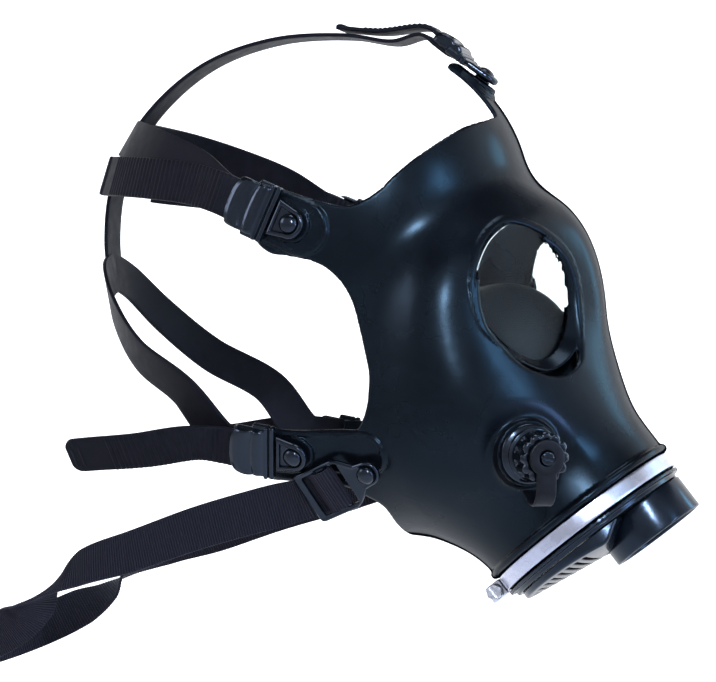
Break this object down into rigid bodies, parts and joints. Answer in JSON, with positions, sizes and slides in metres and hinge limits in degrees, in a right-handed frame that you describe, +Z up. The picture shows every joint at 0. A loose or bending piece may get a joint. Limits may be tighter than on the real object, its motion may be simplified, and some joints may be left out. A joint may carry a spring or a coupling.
{
  "type": "costume mask",
  "caption": "Black rubber full-face costume mask in gas mask style, with clear eye windows, snout fittings, cheek port, buckled head harness and neck strap.",
  "frame": {"origin": "centre of the wearer's head, midway between the ears at eye level", "axes": "+Z up, the mask faces -Y, +X is the wearer's left; millimetres in the source, metres here"},
  "size_m": [0.178, 0.3513, 0.3092],
  "materials": {
    "face_rubber": "satin moulded",
    "strap_rubber": "satin ribbed",
    "gloss_black": "gloss",
    "band_steel": "brushed",
    "webbing": "woven across",
    "lens_clear": "clear"
  },
  "bodies": {
    "root": {"facepiece": "face_rubber", "lens_right": "lens_clear", "lens_left": "lens_clear", "nose_cup": "face_rubber", "housing_base": "gloss_black", "exhaust_cover": "gloss_black", "filter_socket": "gloss_black", "clamp_band": "band_steel", "clamp_housing": "band_steel", "clamp_screw": "band_steel", "port_body": "gloss_black", "port_cap": "gloss_black", "port_button": "gloss_black", "cap_tether": "face_rubber", "harness": "strap_rubber", "buckle_top": "gloss_black", "tongue_top": "gloss_black", "stud_top": "gloss_black", "buckle_temple_right": "gloss_black", "buckle_temple_left": "gloss_black", "tongue_temple_right": "gloss_black", "tongue_temple_left": "gloss_black", "stud_temple_right": "gloss_black", "stud_temple_left": "gloss_black", "buckle_jaw_right": "gloss_black", "buckle_jaw_left": "gloss_black", "tongue_jaw_right": "gloss_black", "tongue_jaw_left": "gloss_black", "stud_jaw_right": "gloss_black", "stud_jaw_left": "gloss_black", "neck_loop_right": "gloss_black", "neck_loop_left": "gloss_black", "neck_stud_right": "gloss_black", "neck_stud_left": "gloss_black", "neck_strap": "webbing"}
  },
  "joints": []
}
